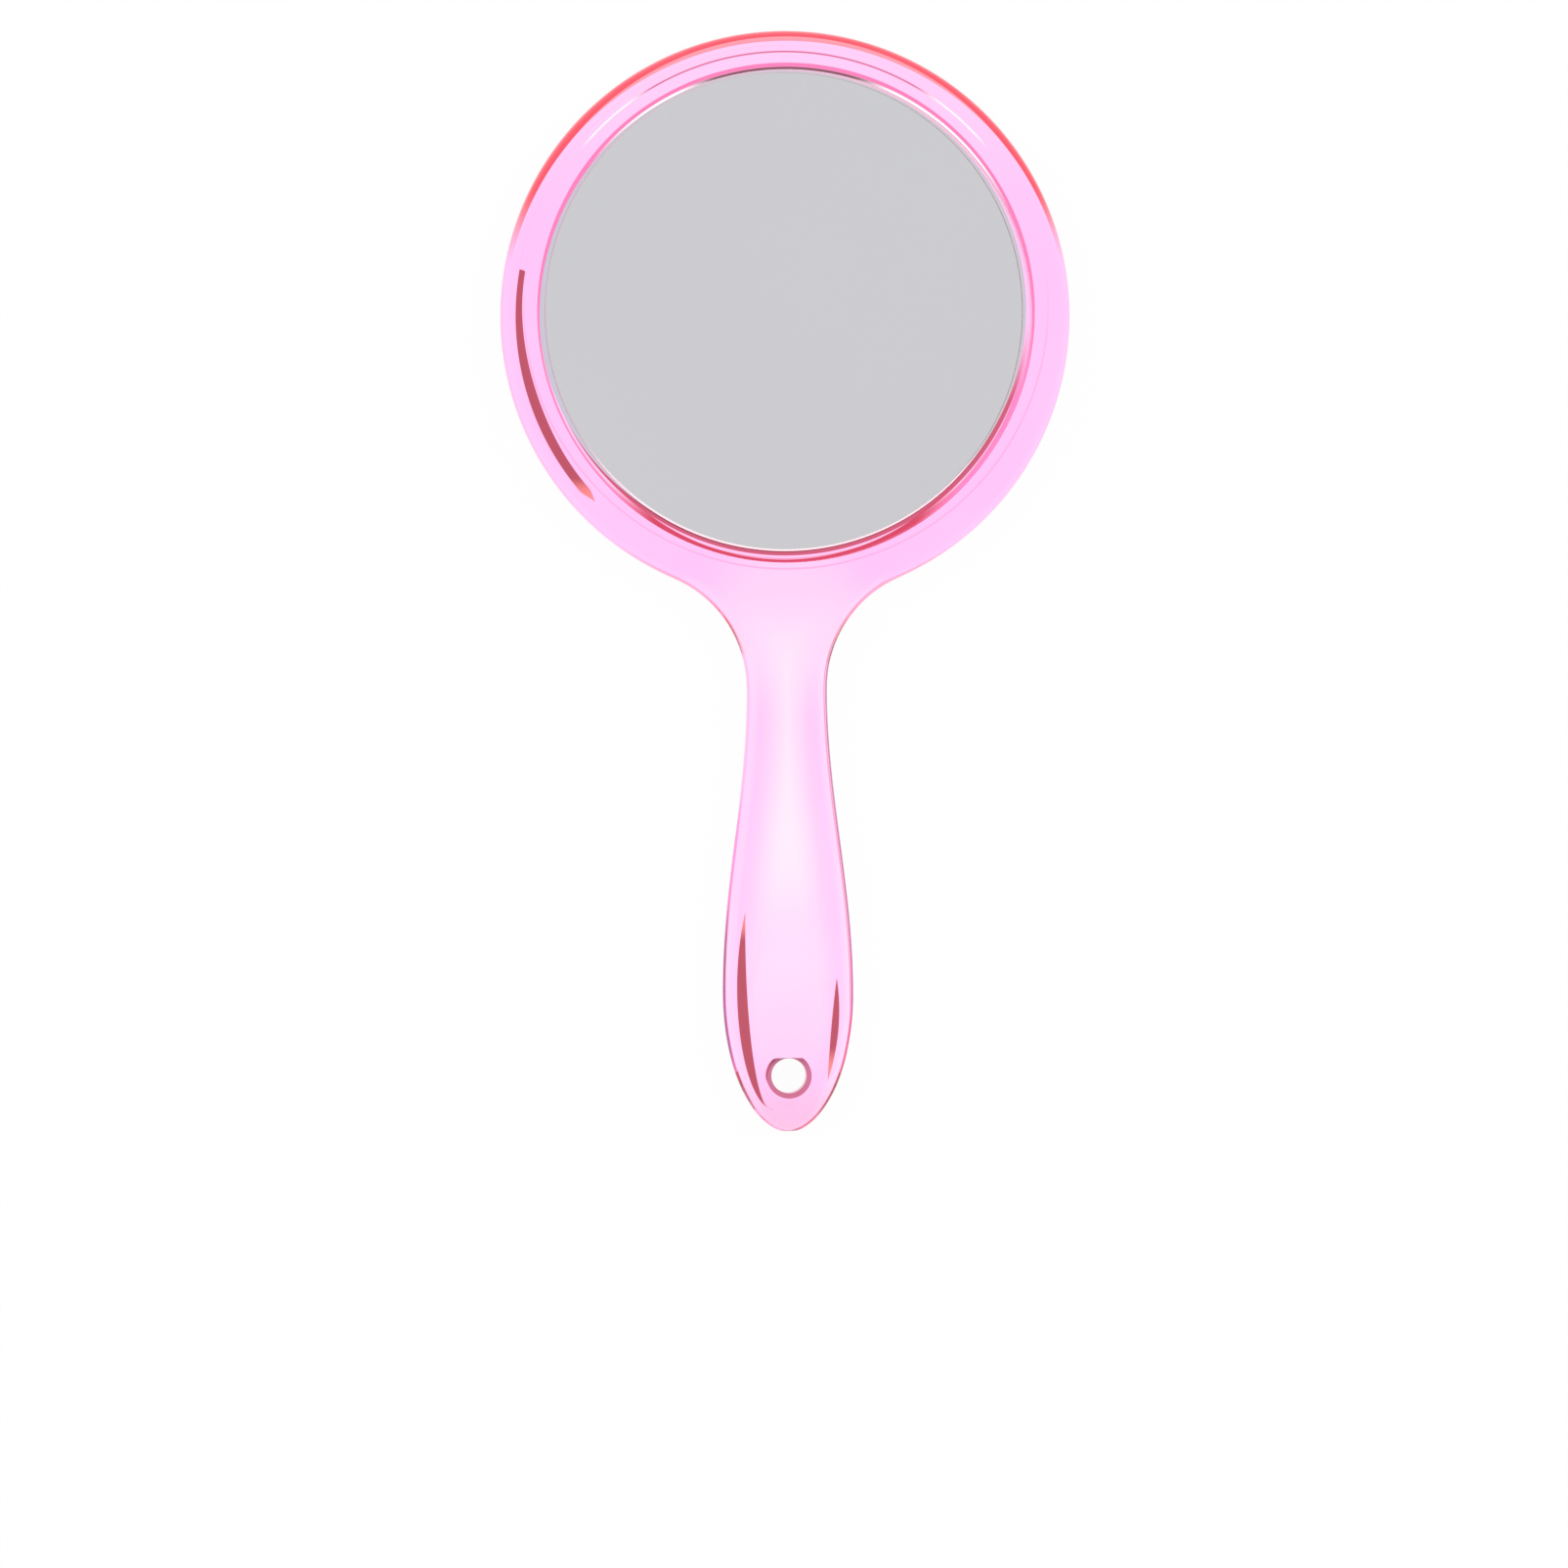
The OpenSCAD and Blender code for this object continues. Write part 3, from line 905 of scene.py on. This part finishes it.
# %% Sky and lamps
SKY_GREY = (0.66, 0.655, 0.675)
WALL_WHITE = (1.0, 1.0, 1.0)
sky = bpy.data.worlds.new("studio_sky")
bpy.context.scene.world = sky
sky.use_nodes = True
tree = sky.node_tree
coords = tree.nodes.new("ShaderNodeTexCoord")
parts = tree.nodes.new("ShaderNodeSeparateXYZ")
tree.links.new(coords.outputs["Generated"], parts.inputs["Vector"])
heights = ramp(tree, parts.outputs["Z"], ((0.0, WALL_WHITE), (0.4, WALL_WHITE), (0.6, SKY_GREY),
                                          (1.0, SKY_GREY)))
path = tree.nodes.new("ShaderNodeLightPath")
room = mix_colour(tree, path.outputs["Is Camera Ray"], heights, (1, 1, 1, 1))
tree.links.new(room, tree.nodes["Background"].inputs["Color"])


def soft_lamp(name, place, size, power):
    """Square area lamp that points at the middle of the object."""
    light = bpy.data.lights.new(name, "AREA")
    light.size = size
    light.energy = power
    lamp = bpy.data.objects.new(name, light)
    lamp.location = place
    lamp.visible_glossy = False
    lamp.visible_transmission = False
    lamp.rotation_euler = (-Vector(place)).to_track_quat("-Z", "Y").to_euler()
    bpy.context.scene.collection.objects.link(lamp)


soft_lamp("left_lamp", (-1.3, 0.5, 1.0), 0.9, 12.0)
soft_lamp("right_lamp", (1.3, 0.5, 1.0), 0.9, 12.0)
print("studio set")

# %% [markdown]
# ## The camera
# The photograph looks almost straight down, a little from the head's side: the lower wall of the recess
# and its reflection in the glass show, and the upper wall hides. A far camera with a long lens keeps the
# outline free of perspective.

# %% Set the camera
VIEW_WIDTH = 343.9 * MM
CAMERA_FAR = 3.0
AIM = Vector((-0.69 * MM, HEAD_Y - 102.55 * MM, MID_Z))
camera_data = bpy.data.cameras.new("camera")
camera_data.sensor_width = 36
camera_data.lens = 36 * CAMERA_FAR / VIEW_WIDTH
camera_data.clip_end = 20
camera = bpy.data.objects.new("camera", camera_data)
direction = Vector((-0.049, 0.03, 1)).normalized()
camera.location = AIM + direction * CAMERA_FAR
side = Vector((0.0042, 1, 0)).cross(direction).normalized()
turned = Matrix((side, direction.cross(side), direction)).transposed()
camera.rotation_euler = turned.to_euler()
bpy.context.scene.collection.objects.link(camera)
bpy.context.scene.camera = camera
bpy.context.scene.view_settings.view_transform = "Standard"
print("camera at", tuple(round(v, 3) for v in camera.location), "lens", round(camera_data.lens, 1))
